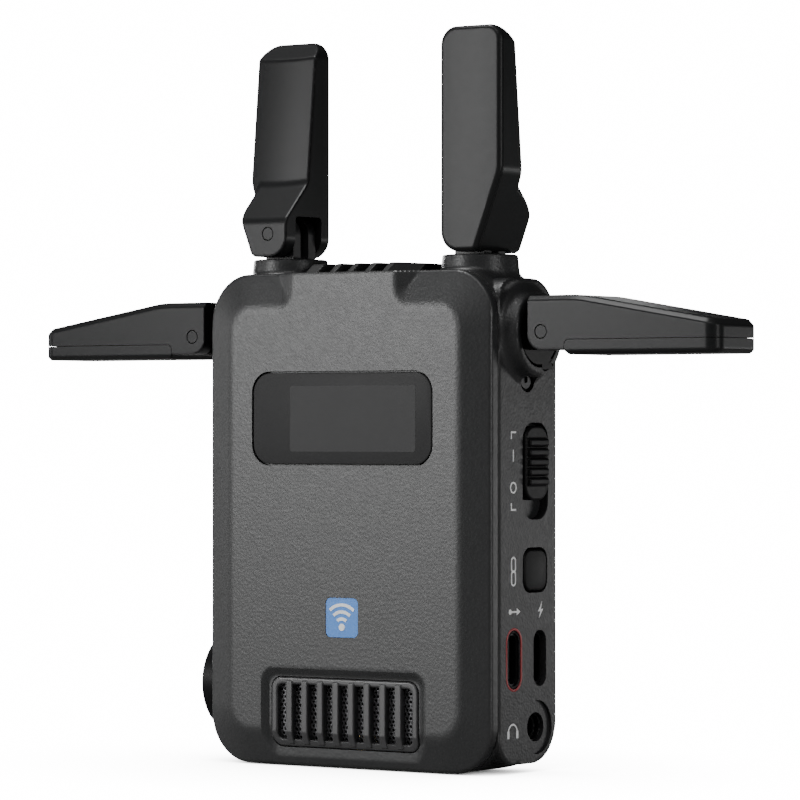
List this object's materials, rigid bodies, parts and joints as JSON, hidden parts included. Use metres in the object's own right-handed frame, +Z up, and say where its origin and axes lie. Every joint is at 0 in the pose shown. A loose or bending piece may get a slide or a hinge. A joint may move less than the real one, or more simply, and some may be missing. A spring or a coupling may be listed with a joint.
{
  "type": "wireless video link unit",
  "caption": "Pocket wireless video link unit with a front display, an air grille, side ports and folding antennas at the top and sides.",
  "frame": {"origin": "centre of the underside: the middle of the width and of the depth, on the surface that the unit stands on", "axes": "+X to the unit's own port side (right, seen from the front), +Y to the back, +Z up; the front face looks along -Y"},
  "size_m": [0.142, 0.022, 0.1264],
  "materials": {
    "front_shell": "fine leather-like grain",
    "side_shell": "fine satin texture",
    "antenna_shell": "satin",
    "black_plastic": "satin black",
    "gasket_rubber": "matt",
    "window_panel": "glossy",
    "display_cell": "glossy",
    "badge_blue": "satin",
    "mark_white": "printed",
    "mesh_dark": "perforated sheet",
    "ring_red": "moulded",
    "connector_metal": "nickel plated",
    "screw_black": "blackened steel",
    "screw_steel": "plain steel",
    "insert_metal": "turned",
    "board_green": "solder mask",
    "shield_metal": "tinned sheet",
    "sink_metal": "extruded",
    "fan_plastic": "moulded",
    "pin_steel": "blackened steel",
    "element_copper": "etched laminate"
  },
  "bodies": {
    "case": {"front_cover": "front_shell", "housing": "side_shell", "rear_cover": "side_shell", "case_gasket": "gasket_rubber", "display_window": "window_panel", "display_panel": "display_cell", "link_badge": "badge_blue", "badge_mark": "mark_white", "air_grille": "black_plastic", "grille_mesh": "mesh_dark", "top_vent": "black_plastic", "data_port_ring": "ring_red", "data_port": "connector_metal", "power_port": "connector_metal", "headphone_jack": "black_plastic", "power_switch_body": "shield_metal", "link_switch": "shield_metal", "side_markings": "mark_white", "video_port_collar": "black_plastic", "video_port": "connector_metal", "display_port": "connector_metal", "main_board": "board_green", "shield_cans": "shield_metal", "heat_sink": "sink_metal", "fan_housing": "fan_plastic", "fan_cover": "fan_plastic", "port_board": "board_green", "bottom_insert": "insert_metal", "side_screws": "screw_black", "rear_screws": "screw_black", "board_screws": "screw_steel", "top_left_base": "black_plastic", "top_right_base": "black_plastic", "side_left_base": "black_plastic", "side_right_base": "black_plastic"},
    "top_left_arm": {"top_left_antenna": "antenna_shell", "top_left_cover": "antenna_shell", "top_left_pin": "pin_steel", "top_left_element": "element_copper"},
    "top_right_arm": {"top_right_antenna": "antenna_shell", "top_right_cover": "antenna_shell", "top_right_pin": "pin_steel", "top_right_element": "element_copper"},
    "side_left_arm": {"side_left_antenna": "antenna_shell", "side_left_cover": "antenna_shell", "side_left_pin": "pin_steel", "side_left_element": "element_copper"},
    "side_right_arm": {"side_right_antenna": "antenna_shell", "side_right_cover": "antenna_shell", "side_right_pin": "pin_steel", "side_right_element": "element_copper"},
    "switch": {"power_switch_knob": "black_plastic"},
    "button": {"link_button": "black_plastic"},
    "fan": {"fan_rotor": "fan_plastic"}
  },
  "joints": [
    {"name": "top_left_fold", "type": "hinge", "parent": "case", "child": "top_left_arm", "pos_m": [-0.0201, 0.00155, 0.0922], "axis": [0, 1, 0], "range_deg": [0, 90]},
    {"name": "top_right_fold", "type": "hinge", "parent": "case", "child": "top_right_arm", "pos_m": [0.0201, 0.00155, 0.0922], "axis": [0, -1, 0], "range_deg": [0, 90]},
    {"name": "side_left_fold", "type": "hinge", "parent": "case", "child": "side_left_arm", "pos_m": [-0.0368, 0.00155, 0.0744], "axis": [0, -1, 0], "range_deg": [0, 90]},
    {"name": "side_right_fold", "type": "hinge", "parent": "case", "child": "side_right_arm", "pos_m": [0.0368, 0.00155, 0.0744], "axis": [0, 1, 0], "range_deg": [0, 90]},
    {"name": "power_slide", "type": "slide", "parent": "case", "child": "switch", "axis": [0, 0, -1], "range_m": [0, 0.0028]},
    {"name": "button_press", "type": "slide", "parent": "case", "child": "button", "axis": [-1, 0, 0], "range_m": [0, 0.0005], "stiffness_N_per_m": 1500},
    {"name": "fan_spin", "type": "hinge", "parent": "case", "child": "fan", "pos_m": [0, -0.003, 0.0175], "axis": [0, -1, 0], "continuous": true}
  ]
}
